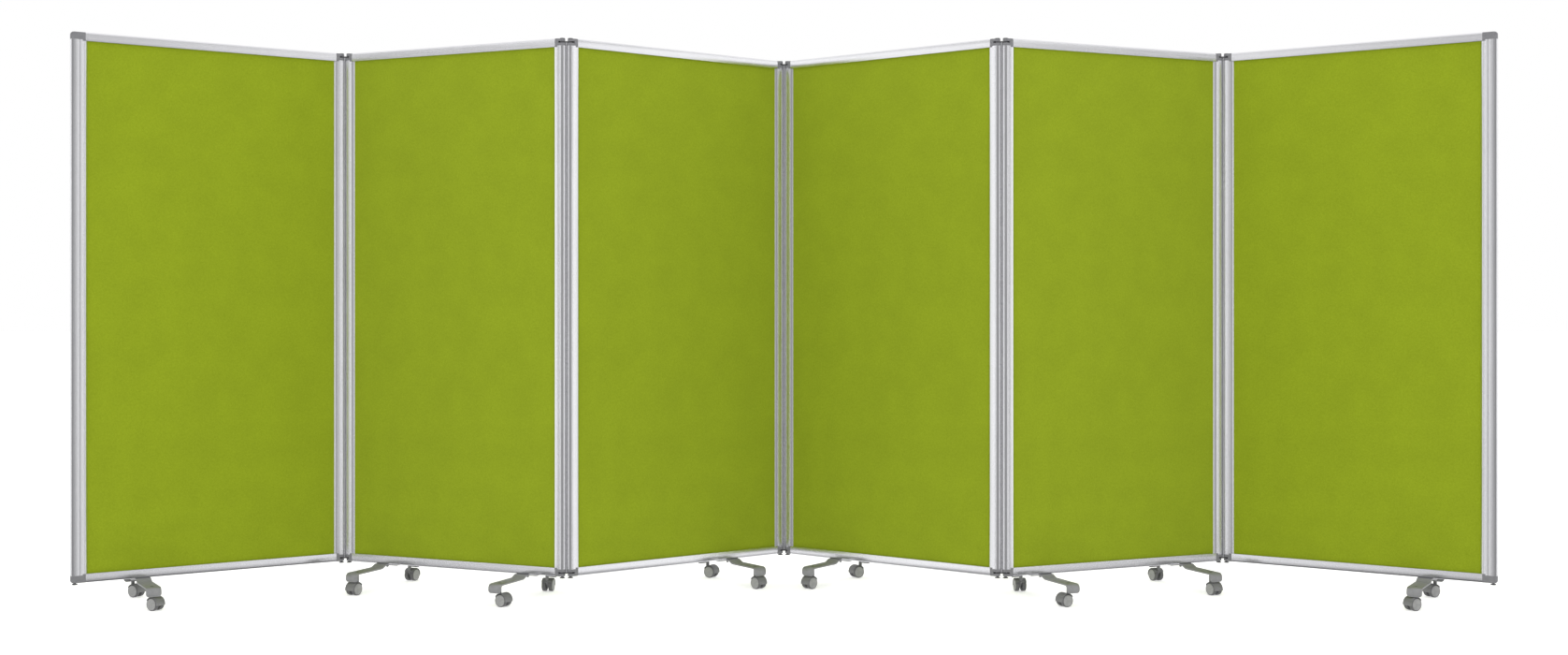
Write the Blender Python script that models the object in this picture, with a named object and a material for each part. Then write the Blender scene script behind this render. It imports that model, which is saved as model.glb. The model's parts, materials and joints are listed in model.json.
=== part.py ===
"""Folding room divider on casters: six felt-covered boards in aluminium frames, double-pin hinges between
them, and flat steel feet that each stand on two swivelling twin-wheel casters.

Metres, +Z up. X runs along the open screen and the two halves mirror each other about x = 0. The origin is
on the floor, under the middle of the whole screen.
"""

import math

import bmesh
import bpy
from mathutils import Vector

# Panels, each in its own frame: X along the panel from its left hinge pin, Y through it, Z up from the floor
PIN_SPAN = 0.874            # between the two pin axes of a panel
PANEL_HEIGHT = 1.800        # frame, bottom rail to top rail
FLOOR_GAP = 0.086           # under the bottom rail
NOSE_RADIUS = 0.013         # half-round stile edge, round the pin axis
FREE_END_EXTRA = 0.010      # how much further out the nose of a free end stands
RAIL_FACE = 0.0285
STILE_FACE = 0.029          # from the pin axis to the edge of the felt
RAIL_CHAMFER = 0.0045
BOARD_THICKNESS = 0.010
FELT_PROUD = 0.0006         # of the felt over the board's edge that runs in the groove
BOARD_INSET = 0.008         # how far the board runs into the frame's groove
FIT = 0.0004                # clearance between touching pieces

# Hinges: two pins in one link
NOSE_GAP = 0.0008           # between the noses of two hinged panels
PIN_SPACING = 2 * NOSE_RADIUS + NOSE_GAP
PIN_RADIUS = 0.004
PIN_CLEARANCE = 0.0006         # round a pin, stem or axle in its hole, whose sides are flats
ROUND_SIDES = 10
LINK_RADIUS = 0.0085
LINK_THICKNESS = 0.006
LINK_DEPTH = 0.009          # from the end of the frame to the link in its slot
EAR_TURN = 4                # degrees that the ear's rounding stops short of the nose's edge
EAR_RADIUS = 0.0095         # what is left of the nose between the link and the end of the frame
SPINE_RADIUS = 0.0024       # the two beads between the noses, from link to link
SPINE_OFFSET = 0.0086       # from the line between the pins
HEAD_RADIUS = 0.0092
HEAD_TOP = 0.0020
HEAD_SEAT = 0.0004          # how far the ear under a head stands back from the rail
STUD_NECK = 0.0035          # the flanged studs under the bottom corners
STUD_FLANGE = 0.0032

# Feet
FOOT_WIDTH = 0.048
FOOT_PLATE = 0.005
FOOT_REACH = 0.182          # outer face of the turned-down end, from the panel's middle
FOOT_SEAT = 0.016           # half length of the flat that bears on the rail
JOGGLE_LENGTH = 0.028
JOGGLE_DROP = 0.009
FOOT_BEND = 0.015           # outer radius of the turned-down end
FLAP_CLEARANCE = 0.0010     # of the turned-down end over the casters' hoods
FLAP_CORNER = 0.010
SCREW_RADIUS = 0.0040
SCREW_SPACING = 0.0300      # between the two fixing screws, along the rail
SCREW_DROP = 0.0065
FOOT_FROM_FREE_END = 0.200  # from the pin axis of a free end to its foot
FOOT_FROM_HINGE = 0.150     # both feet of a second panel
FOOT_FROM_MIDDLE = 0.220    # the foot of a middle panel, from the middle hinge

# Casters
CASTER_REACH = 0.150        # stem axis from the panel's middle
CASTER_TRAIL = 0.016        # axle behind the stem
WHEEL_RADIUS = 0.0215
WHEEL_WIDTH = 0.0145
WHEEL_SIDES = 16
WEB_WIDTH = 0.0080          # housing between the two wheels
AXLE_RADIUS = 0.0030
WEB_FOOT_RADIUS = 0.0090    # web under the axle
WEB_FOOT_ANGLES = (230, 310)
HOOD_GAP = 0.0012
HOOD_WALL = 0.0016
HOOD_ANGLES = (-10, 150)     # the hood's ends round the axle, from the axle's far side, in degrees
HOOD_STEPS = 9
HOOD_TOP = 2 * WHEEL_RADIUS + HOOD_GAP + HOOD_WALL
FLAP_BOTTOM = HOOD_TOP + FLAP_CLEARANCE
STEM_RADIUS = 0.0045
BOSS_RADIUS = 0.0060
WHEEL_GAP = 0.0005

# How the screen stands: each panel's turn from the X axis, in degrees, from the left end to the middle
LEFT_TURNS = (32.5, -23.0, 36.5)

# How the casters of the left half stand: the direction from stem to axle, in degrees from +X
LEFT_SWIVELS = {
    "foot_1_front": 334, "foot_1_rear": 336,
    "foot_2_outer_front": 244, "foot_2_outer_rear": 68,
    "foot_2_inner_front": 330, "foot_2_inner_rear": 83,
    "foot_3_front": 316, "foot_3_rear": 330,
}

FINISHES = {
    # name: (colour, roughness, metallic)
    "felt": ((0.29, 0.37, 0.016), 0.95, 0.0),
    "aluminium": ((0.62, 0.62, 0.65), 0.35, 0.9),
    "hinge_steel": ((0.30, 0.30, 0.31), 0.40, 0.8),
    "foot_steel": ((0.27, 0.27, 0.28), 0.45, 0.7),
    "caster_housing": ((0.16, 0.16, 0.165), 0.50, 0.0),
    "caster_wheel": ((0.36, 0.36, 0.35), 0.55, 0.0),
}


def clear_scene():
    for old in list(bpy.data.objects):
        bpy.data.objects.remove(old, do_unlink=True)


def material(name):
    found = bpy.data.materials.get(name)
    if found:
        return found
    colour, roughness, metallic = FINISHES[name]
    made = bpy.data.materials.new(name)
    made.use_nodes = True
    shader = made.node_tree.nodes["Principled BSDF"]
    shader.inputs["Base Color"].default_value = (*colour, 1.0)
    shader.inputs["Roughness"].default_value = roughness
    shader.inputs["Metallic"].default_value = metallic
    return made


def mesh_object(mesh, name="shape"):
    made = bpy.data.objects.new(name, mesh)
    bpy.context.scene.collection.objects.link(made)
    return made


def extruded(outline, low, high, along="z"):
    """A prism of the closed 2-D outline. Along z the outline is (x, y), along y it is (x, z), along x (y, z)."""
    build = bmesh.new()
    place = {
        "z": lambda a, b, c: (a, b, c),
        "y": lambda a, b, c: (a, c, b),
        "x": lambda a, b, c: (c, a, b),
    }[along]
    face = build.faces.new([build.verts.new(place(a, b, low)) for a, b in outline])
    grown = bmesh.ops.extrude_face_region(build, geom=[face])
    travel = Vector(place(0.0, 0.0, high - low))
    moved = [item for item in grown["geom"] if isinstance(item, bmesh.types.BMVert)]
    bmesh.ops.translate(build, verts=moved, vec=travel)
    bmesh.ops.recalc_face_normals(build, faces=build.faces)
    mesh = bpy.data.meshes.new("prism")
    build.to_mesh(mesh)
    build.free()
    return mesh


def arc(centre, radius, start, end, steps):
    """Points along an arc, in degrees, both ends included."""
    turns = [math.radians(start + (end - start) * step / steps) for step in range(steps + 1)]
    return [(centre[0] + radius * math.cos(turn), centre[1] + radius * math.sin(turn)) for turn in turns]


def circle(centre, radius, sides):
    return arc(centre, radius, 0.0, 360.0, sides)[:-1]


def box(x, y, z):
    corners = [(x[0], y[0]), (x[1], y[0]), (x[1], y[1]), (x[0], y[1])]
    return extruded(corners, z[0], z[1])


def combined(base, joins=(), cuts=()):
    """The mesh of the base with the other meshes joined to it and cut from it."""
    body = mesh_object(base)
    helpers = []
    for operation, meshes in (("UNION", joins), ("DIFFERENCE", cuts)):
        for mesh in meshes:
            helper = mesh_object(mesh)
            helper.hide_render = True
            helper.display_type = "WIRE"
            helpers.append(helper)
            change = body.modifiers.new(operation.lower(), "BOOLEAN")
            change.operation = operation
            change.object = helper
    graph = bpy.context.evaluated_depsgraph_get()
    result = bpy.data.meshes.new_from_object(body.evaluated_get(graph))
    for used in (body, *helpers):
        bpy.data.objects.remove(used, do_unlink=True)
    return result


def node(name, mesh, finish, parent, smooth=False):
    """One piece of the assembly, in the frame of its parent empty."""
    made = mesh_object(mesh, name)
    made.parent = parent
    mesh.materials.clear()
    mesh.materials.append(material(finish))
    if smooth:
        mesh.shade_smooth()
        mesh.set_sharp_from_angle(angle=math.radians(35))
    return made


def empty(name, parent, location=(0, 0, 0), turn=0.0):
    made = bpy.data.objects.new(name, None)
    bpy.context.scene.collection.objects.link(made)
    made.parent = parent
    made.location = location
    made.rotation_euler = (0, 0, turn)
    made.empty_display_size = 0.05
    return made


# Panels


def panel_ends(free_end):
    """How far out of the pin axes the noses of the left and right stiles are centred."""
    return (
        FREE_END_EXTRA if free_end == "left" else 0.0,
        FREE_END_EXTRA if free_end == "right" else 0.0,
    )


def frame_mesh(free_end):
    """Rails and stiles as one closed frame, with a groove for the board and a bore for each hinge pin."""
    left, right = panel_ends(free_end)
    low, high = FLOOR_GAP, FLOOR_GAP + PANEL_HEIGHT
    outline = arc((-left, 0.0), NOSE_RADIUS, 90, 270, 8)
    outline += arc((PIN_SPAN + right, 0.0), NOSE_RADIUS, -90, 90, 8)
    opening_x = (STILE_FACE, PIN_SPAN - STILE_FACE)
    opening_z = (low + RAIL_FACE, high - RAIL_FACE)
    opening = box(opening_x, (-2 * NOSE_RADIUS, 2 * NOSE_RADIUS), opening_z)
    deep = BOARD_INSET + FIT
    half = BOARD_THICKNESS / 2 + FIT
    groove = box(
        (opening_x[0] - deep, opening_x[1] + deep),
        (-half, half),
        (opening_z[0] - deep, opening_z[1] + deep),
    )
    cuts = [opening, groove]
    for edge, inward in ((low, 1.0), (high, -1.0)):
        for side in (-1.0, 1.0):
            corner = [
                (side * (NOSE_RADIUS - RAIL_CHAMFER / 2), edge - inward * FIT),
                (side * (NOSE_RADIUS + FIT), edge - inward * FIT),
                (side * (NOSE_RADIUS + FIT), edge + inward * RAIL_CHAMFER),
            ]
            cuts.append(extruded(corner, opening_x[0], opening_x[1], "x"))
    joins = []
    for pin_x, outward, is_free in ((0.0, -1.0, free_end == "left"), (PIN_SPAN, 1.0, free_end == "right")):
        if is_free:
            joins.append(stud_mesh(pin_x + outward * FREE_END_EXTRA, low))
        else:
            bore = circle((pin_x, 0.0), PIN_RADIUS + PIN_CLEARANCE, ROUND_SIDES)
            cuts.append(extruded(bore, low - FIT, high + FIT))
            cuts += hinge_recesses(pin_x, outward)
    return combined(extruded(outline, low, high), joins=joins, cuts=cuts)


def link_heights():
    """(bottom, top) of the lower and of the upper link plate."""
    low, high = FLOOR_GAP, FLOOR_GAP + PANEL_HEIGHT
    return (
        (low + LINK_DEPTH, low + LINK_DEPTH + LINK_THICKNESS),
        (high - LINK_DEPTH - LINK_THICKNESS, high - LINK_DEPTH),
    )


def hinge_recesses(pin_x, outward):
    """Cutters for the slots of both links and for the rounded ears beyond them."""
    reach = 2 * NOSE_RADIUS
    slot_x = sorted((pin_x + outward * reach, pin_x - outward * (LINK_RADIUS + FIT)))
    start, end = (-90 - EAR_TURN, -270 + EAR_TURN) if outward < 0 else (-90 + EAR_TURN, 90 - EAR_TURN)
    round_ear = arc((pin_x, 0.0), EAR_RADIUS, start, end, 6)
    root_x = round_ear[0][0]
    round_ear = [(root_x, -reach)] + round_ear + [(root_x, reach)]
    round_ear += [(pin_x + outward * reach, reach), (pin_x + outward * reach, -reach)]
    cuts = []
    for bottom, top in link_heights():
        cuts.append(box(slot_x, (-reach, reach), (bottom - FIT, top + FIT)))
    seat_x = sorted((pin_x + outward * reach, pin_x - outward * (HEAD_RADIUS + FIT)))
    top = FLOOR_GAP + PANEL_HEIGHT
    cuts.append(box(seat_x, (-reach, reach), (top - HEAD_SEAT, top + FIT)))
    (low_link, _), (_, high_link) = link_heights()
    cuts.append(extruded(round_ear, FLOOR_GAP - FIT, low_link))
    cuts.append(extruded(round_ear, high_link, top + FIT))
    return cuts


def stud_mesh(x, low):
    """A flanged stud under the end of a frame, reaching up into it."""
    flange_top = low - STUD_NECK
    profile = [
        (PIN_RADIUS, low + FIT),
        (PIN_RADIUS, flange_top),
        (HEAD_RADIUS, flange_top),
        (HEAD_RADIUS, flange_top - STUD_FLANGE),
    ]
    return turned(profile, x)


def turned(profile, x):
    """A closed round solid from (radius, height) points that run down its outside."""
    build = bmesh.new()
    rings = [
        [build.verts.new((x + a, b, height)) for a, b in circle((0.0, 0.0), radius, ROUND_SIDES)]
        for radius, height in profile
    ]
    for upper, lower in zip(rings, rings[1:]):
        for step in range(ROUND_SIDES):
            following = (step + 1) % ROUND_SIDES
            build.faces.new((upper[step], lower[step], lower[following], upper[following]))
    build.faces.new(rings[0])
    build.faces.new(rings[-1])
    bmesh.ops.recalc_face_normals(build, faces=build.faces)
    mesh = bpy.data.meshes.new("turned")
    build.to_mesh(mesh)
    build.free()
    return mesh


def board_slab(inset, half):
    """A slab whose edges stand back from the frame's inner edges by inset, which is negative into the groove."""
    inner_x, inner_z = STILE_FACE + inset, RAIL_FACE + inset
    return box(
        (inner_x, PIN_SPAN - inner_x),
        (-half, half),
        (FLOOR_GAP + inner_z, FLOOR_GAP + PANEL_HEIGHT - inner_z),
    )


def board_mesh():
    """The board with its edge in the groove, and the felt of both faces just proud between the frame's edges."""
    tongue = board_slab(-BOARD_INSET, BOARD_THICKNESS / 2)
    return combined(tongue, joins=[board_slab(FIT, BOARD_THICKNESS / 2 + FELT_PROUD)])


# Hinges


def hinge_mesh():
    """Two long pins with their heads, a link plate near each end and the beads between the noses.

    The first pin is on the node's origin and the second on its +X.
    """
    low, high = FLOOR_GAP, FLOOR_GAP + PANEL_HEIGHT
    head_bottom = high - HEAD_SEAT + FIT
    plate = arc((0.0, 0.0), LINK_RADIUS, 90, 270, 6)
    plate += arc((PIN_SPACING, 0.0), LINK_RADIUS, -90, 90, 6)
    (low_link, low_link_top), (high_link, high_link_top) = link_heights()
    joins = [extruded(plate, high_link, high_link_top)]
    for pin_x in (0.0, PIN_SPACING):
        pin = [
            (HEAD_RADIUS, head_bottom + HEAD_TOP),
            (HEAD_RADIUS, head_bottom),
            (PIN_RADIUS, head_bottom),
            (PIN_RADIUS, low - STUD_NECK),
            (HEAD_RADIUS, low - STUD_NECK),
            (HEAD_RADIUS, low - STUD_NECK - STUD_FLANGE),
        ]
        joins.append(turned(pin, pin_x))
    for side in (-1.0, 1.0):
        bead = circle((PIN_SPACING / 2, side * SPINE_OFFSET), SPINE_RADIUS, 8)
        joins.append(extruded(bead, low_link_top - FIT, high_link + FIT))
    return combined(extruded(plate, low_link, low_link_top), joins=joins)


# Feet


def foot_side():
    """Half of the bar's side outline, as (distance from the panel, height), along its top and back below."""
    seat = FLOOR_GAP - FIT
    arm = seat - JOGGLE_DROP
    slope_end = FOOT_SEAT + JOGGLE_LENGTH
    bend = (FOOT_REACH - FOOT_BEND, arm - FOOT_BEND)
    top = [(FOOT_SEAT, seat), (slope_end, arm)] + arc(bend, FOOT_BEND, 90, 0, 4)
    top.append((FOOT_REACH, FLAP_BOTTOM))
    under = [(FOOT_REACH - FOOT_PLATE, FLAP_BOTTOM)] + arc(bend, FOOT_BEND - FOOT_PLATE, 0, 90, 4)
    under += [(slope_end, arm - FOOT_PLATE), (FOOT_SEAT, seat - FOOT_PLATE)]
    return top, under


def foot_mesh():
    """A flat bar across the panel, cranked down from the rail and turned down at both ends."""
    top, under = foot_side()
    outline = [(-v, z) for v, z in reversed(top)] + top + under + [(-v, z) for v, z in reversed(under)]
    bar = extruded(outline, -FOOT_WIDTH / 2, FOOT_WIDTH / 2, "x")
    seat_bottom = FLOOR_GAP - FIT - FOOT_PLATE
    screw_z = (seat_bottom - SCREW_DROP, seat_bottom + FIT)
    screws = [
        extruded(circle((along, 0.0), SCREW_RADIUS, ROUND_SIDES), *screw_z)
        for along in (-SCREW_SPACING / 2, SCREW_SPACING / 2)
    ]
    cuts = []
    for side in (-1.0, 1.0):
        hole = circle((0.0, side * CASTER_REACH), STEM_RADIUS + PIN_CLEARANCE, ROUND_SIDES)
        cuts.append(extruded(hole, FLAP_BOTTOM, FLOOR_GAP))
        for edge in (-1.0, 1.0):
            corner = flap_corner(edge)
            reach = sorted((side * (FOOT_REACH - FOOT_BEND), side * (FOOT_REACH + FIT)))
            cuts.append(extruded(corner, reach[0], reach[1], "y"))
    return combined(bar, joins=screws, cuts=cuts)


def flap_corner(edge):
    """What rounds off one lower corner of a turned-down end, as (x, z)."""
    side = edge * FOOT_WIDTH / 2
    centre = (side - edge * FLAP_CORNER, FLAP_BOTTOM + FLAP_CORNER)
    start, end = (270, 360) if edge > 0 else (270, 180)
    rounding = arc(centre, FLAP_CORNER, start, end, 3)
    outside = side + edge * FIT
    under = FLAP_BOTTOM - FIT
    return [(rounding[0][0], under)] + rounding + [(outside, rounding[-1][1]), (outside, under)]


# Casters, in a frame at the stem axis on the floor, with the axle on +X


def housing_mesh():
    """Stem, boss, the web between the wheels and the hood over them."""
    axle = (CASTER_TRAIL, WHEEL_RADIUS)
    inner = WHEEL_RADIUS + HOOD_GAP
    outer = inner + HOOD_WALL
    start, end = HOOD_ANGLES
    half = WEB_WIDTH / 2 + WHEEL_GAP + WHEEL_WIDTH
    hood = arc(axle, outer, start, end, HOOD_STEPS) + arc(axle, inner, end, start, HOOD_STEPS)
    web = arc(axle, inner + HOOD_WALL / 2, start, end, HOOD_STEPS)
    web += arc(axle, WEB_FOOT_RADIUS, *WEB_FOOT_ANGLES, 2)
    arm_under = FLOOR_GAP - FIT - JOGGLE_DROP - FOOT_PLATE
    boss_foot = WHEEL_RADIUS + inner
    neck_x = (-BOSS_RADIUS, BOSS_RADIUS)
    neck = box(neck_x, (-WEB_WIDTH / 2, WEB_WIDTH / 2), (WHEEL_RADIUS, boss_foot + HOOD_WALL))
    boss = extruded(circle((0.0, 0.0), BOSS_RADIUS, ROUND_SIDES), boss_foot, arm_under - FIT)
    stem_z = (arm_under - HOOD_WALL, arm_under + FOOT_PLATE - FIT)
    stem = extruded(circle((0.0, 0.0), STEM_RADIUS, ROUND_SIDES), *stem_z)
    bore = extruded(circle(axle, AXLE_RADIUS + PIN_CLEARANCE, ROUND_SIDES), -half, half, "y")
    web = extruded(web, -WEB_WIDTH / 2, WEB_WIDTH / 2, "y")
    return combined(extruded(hood, -half, half, "y"), joins=[web, neck, boss, stem], cuts=[bore])


def wheels_mesh():
    """Two wheels on one axle, in a frame at the stem axis. The tread is flat-sided, with a flat on the floor."""
    axle = (CASTER_TRAIL, WHEEL_RADIUS)
    side_angle = 180.0 / WHEEL_SIDES
    corner_radius = WHEEL_RADIUS / math.cos(math.radians(side_angle))
    tread = arc(axle, corner_radius, side_angle - 90, 270 + side_angle, WHEEL_SIDES)[:-1]
    near = WEB_WIDTH / 2 + WHEEL_GAP
    far = near + WHEEL_WIDTH
    wheel = extruded(tread, -far, -near, "y")
    other = extruded(tread, near, far, "y")
    shaft = extruded(circle(axle, AXLE_RADIUS, ROUND_SIDES), -near - FIT, near + FIT, "y")
    return combined(shaft, joins=[wheel, other])


def add_caster(name, stem, turn, meshes):
    swivel = empty(name + "_swivel", stem, turn=turn)
    node(name + "_housing", meshes["housing"], "caster_housing", swivel, smooth=True)
    node(name + "_wheels", meshes["wheels"], "caster_wheel", swivel, smooth=True)
    empty(name + "_axle", swivel, (CASTER_TRAIL, 0.0, WHEEL_RADIUS))


def add_foot(name, panel, along, panel_turn, meshes):
    base = empty(name + "_base", panel, (along, 0.0, 0.0))
    node(name, meshes["foot"], "foot_steel", base)
    for side, way in (("front", -1.0), ("rear", 1.0)):
        caster = f"{name}_{side}"
        stem = empty(caster + "_stem", base, (0.0, way * CASTER_REACH, 0.0))
        add_caster(caster, stem, swivel_of(caster) - panel_turn, meshes)


def swivel_of(caster):
    """The world direction of a caster, in radians. The right half mirrors the left."""
    number = int(caster.split("_")[1])
    if number <= 3:
        return math.radians(LEFT_SWIVELS[caster])
    twin = caster.replace(f"foot_{number}", f"foot_{7 - number}")
    return math.pi - math.radians(LEFT_SWIVELS[twin])


# The screen


def panel_layout():
    """Left pin and turn of each panel, with the middle hinge on the origin's X."""
    turns = [math.radians(turn) for turn in LEFT_TURNS]
    turns += [-turn for turn in reversed(turns)]
    pin = Vector((0.0, 0.0))
    layout = []
    for number, turn in enumerate(turns):
        if number:
            link_turn = (turns[number - 1] + turn) / 2
            layout[-1]["link_turn"] = link_turn
            pin = pin + PIN_SPACING * Vector((math.cos(link_turn), math.sin(link_turn)))
        layout.append({"pin": pin.copy(), "turn": turn})
        pin = pin + PIN_SPAN * Vector((math.cos(turn), math.sin(turn)))
    middle = pin.x / 2
    for panel in layout:
        panel["pin"].x -= middle
    return layout


def feet_of(number):
    """(name, place along the panel from its left pin) of each foot of a panel."""
    if number == 1:
        return [("foot_1", FOOT_FROM_FREE_END)]
    if number == 6:
        return [("foot_6", PIN_SPAN - FOOT_FROM_FREE_END)]
    if number == 3:
        return [("foot_3", PIN_SPAN - FOOT_FROM_MIDDLE)]
    if number == 4:
        return [("foot_4", FOOT_FROM_MIDDLE)]
    left, right = ("outer", "inner") if number == 2 else ("inner", "outer")
    return [
        (f"foot_{number}_{left}", FOOT_FROM_HINGE),
        (f"foot_{number}_{right}", PIN_SPAN - FOOT_FROM_HINGE),
    ]


def centre_on_floor(screen):
    """Moves the whole screen so that the origin is under the middle of its bounding box."""
    bpy.context.view_layer.update()
    points = [
        piece.matrix_world @ Vector(corner)
        for piece in bpy.data.objects
        if piece.type == "MESH"
        for corner in piece.bound_box
    ]
    for axis in (0, 1):
        places = [point[axis] for point in points]
        screen.location[axis] -= (min(places) + max(places)) / 2
    screen.location[2] -= min(point[2] for point in points)


def build():
    clear_scene()
    screen = empty("screen", None)
    meshes = {
        "foot": foot_mesh(),
        "housing": housing_mesh(),
        "wheels": wheels_mesh(),
        "board": board_mesh(),
        "hinge": hinge_mesh(),
        "frame_left": frame_mesh("left"),
        "frame_inner": frame_mesh(None),
        "frame_right": frame_mesh("right"),
    }
    layout = panel_layout()
    for number, place in enumerate(layout, start=1):
        panel = empty(f"panel_{number}", screen, (*place["pin"], 0.0), place["turn"])
        kind = {1: "frame_left", 6: "frame_right"}.get(number, "frame_inner")
        node(f"panel_{number}_frame", meshes[kind], "aluminium", panel, smooth=True)
        node(f"panel_{number}_board", meshes["board"], "felt", panel)
        for name, along in feet_of(number):
            add_foot(name, panel, along, place["turn"], meshes)
        if "link_turn" in place:
            end = panel.matrix_basis @ Vector((PIN_SPAN, 0.0, 0.0))
            link = empty(f"link_{number}_{number + 1}", screen, end, place["link_turn"])
            node(f"hinge_{number}_{number + 1}", meshes["hinge"], "hinge_steel", link, smooth=True)
    centre_on_floor(screen)
    bpy.context.view_layer.update()


build()
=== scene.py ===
"""Looks of the folding room divider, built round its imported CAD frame: six felt boards in anodised frames,
double-pin hinges, flat steel feet and twin-wheel casters.

Lengths in metres, +Z up. A panel's own frame has X along it from its left hinge pin, Y to the rear and Z from
the floor.
"""

import json
import math

import bmesh
import bpy
from mathutils import Matrix, Vector


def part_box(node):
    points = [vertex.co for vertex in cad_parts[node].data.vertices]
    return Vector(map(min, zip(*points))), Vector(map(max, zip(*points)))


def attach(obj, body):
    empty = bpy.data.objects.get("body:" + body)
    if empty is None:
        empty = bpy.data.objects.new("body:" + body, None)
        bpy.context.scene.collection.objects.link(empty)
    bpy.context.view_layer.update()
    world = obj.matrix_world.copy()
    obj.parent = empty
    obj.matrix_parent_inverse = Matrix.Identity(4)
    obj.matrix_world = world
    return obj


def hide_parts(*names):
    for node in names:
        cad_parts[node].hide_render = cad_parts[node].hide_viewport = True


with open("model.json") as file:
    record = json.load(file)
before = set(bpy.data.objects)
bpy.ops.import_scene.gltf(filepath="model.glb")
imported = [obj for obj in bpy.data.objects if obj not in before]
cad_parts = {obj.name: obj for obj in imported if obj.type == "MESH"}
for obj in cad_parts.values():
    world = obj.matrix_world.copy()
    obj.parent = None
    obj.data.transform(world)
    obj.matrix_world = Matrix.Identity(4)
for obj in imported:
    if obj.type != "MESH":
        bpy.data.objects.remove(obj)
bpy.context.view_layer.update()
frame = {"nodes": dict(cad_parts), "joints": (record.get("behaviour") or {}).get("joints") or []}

# Frame section, measured from the pin axis (along) and from the panel's middle plane (through)
HALF = 0.0130               # half of the frame's thickness
FELT_EDGE = 0.0290          # where the felt shows from
LIP_EDGE = 0.0218           # top of the sloping lip
FELT_PLANE = 0.0050
RAIL_FACE = 0.0285
RAIL_CHAMFER = 0.0045       # up the face of the rail
CHAMFER_IN = 0.0022
FREE_NOSE = -0.0230
CORNER_INNER = 0.0215       # end of a corner piece along the rail
CORNER_TALL = 0.0240
TOOTH = (0.0126, 0.0222)
PROUD = 0.0001              # of the corner pieces over the rails
SEAM = 0.0003
SLOT = (0.0090, 0.0150)     # of the hinge link, from the end of the frame
SLOT_BACK = 0.0091
EAR = 0.0092

PIN = 0.0040
HEAD = 0.0092
HEAD_SEAT = 0.0004          # how much lower the corner piece is under a pin's head
LINK_RADIUS = 0.0085
BEAD = 0.0022
BEAD_OFFSET = 0.0086

BAR_GAP = 0.0004            # between the bar and the frame above it
BAR_WIDTH = 0.0480
BAR_PLATE = 0.0050
BAR_REACH = 0.1820
BAR_BEND = 0.0150
BAR_JOGGLE = (0.0160, 0.0440, 0.0090)   # start, end, drop
FLAP_BOTTOM = 0.0468
FLAP_CORNER = 0.0100
SCREW_SPACING = 0.0300

WHEEL = 0.0215
WHEEL_NEAR = 0.0045         # inner face of a wheel from the caster's middle
WHEEL_FAR = 0.0190
HOOD_INNER = 0.0227
HOOD_OUTER = 0.0243
HOOD_ANGLES = (-10, 150)
WEB = 0.0038
BOSS = 0.0060
STEM = 0.0044

MERGE = 0.000005            # points of a mesh nearer than this become one


# ---------------------------------------------------------------- meshes


def mesh_of(name, points, faces, sharp):
    """A smooth-shaded mesh with sharp edges kept over the given angle, in degrees."""
    build = bmesh.new()
    verts = [build.verts.new(point) for point in points]
    for face in faces:
        build.faces.new([verts[index] for index in face])
    bmesh.ops.remove_doubles(build, verts=build.verts, dist=MERGE)
    bmesh.ops.recalc_face_normals(build, faces=build.faces)
    mesh = bpy.data.meshes.new(name)
    build.to_mesh(mesh)
    build.free()
    mesh.shade_smooth()
    mesh.set_sharp_from_angle(angle=math.radians(sharp))
    return mesh


def loft(rings):
    """Points and faces of a closed solid through rings of equal length."""
    count = len(rings[0])
    points = [point for ring in rings for point in ring]
    faces = [tuple(range(count)), tuple(range(len(points) - count, len(points)))]
    for level in range(len(rings) - 1):
        for step in range(count):
            following = (step + 1) % count
            low, high = level * count, (level + 1) * count
            faces.append((low + step, low + following, high + following, high + step))
    return points, faces


def merged(*solids):
    points, faces = [], []
    for more_points, more_faces in solids:
        base = len(points)
        points += more_points
        faces += [tuple(base + index for index in face) for face in more_faces]
    return points, faces


def both_sides(outline):
    """The closed outline whose front half is given, mirrored about the middle plane: (along, through)."""
    return [(x, -y) for x, y in outline] + outline[::-1]


def arc(centre, radius, start, end, steps):
    turns = [math.radians(start + (end - start) * step / steps) for step in range(steps + 1)]
    return [(centre[0] + radius * math.cos(turn), centre[1] + radius * math.sin(turn)) for turn in turns]


def revolved(profile, sides, place):
    """A round solid from (radius, along axis) points, with place turning (u, v, along) into a point."""
    rings = []
    for radius, along in profile:
        ring = []
        for step in range(sides):
            turn = 2 * math.pi * step / sides
            ring.append(place(radius * math.cos(turn), radius * math.sin(turn), along))
        rings.append(ring)
    return loft(rings)


def upright(x=0.0, y=0.0):
    return lambda u, v, along: (x + u, y + v, along)


def on_axle(centre):
    return lambda u, v, along: (centre[0] + u, along, centre[1] + v)


# ---------------------------------------------------------------- materials


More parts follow.
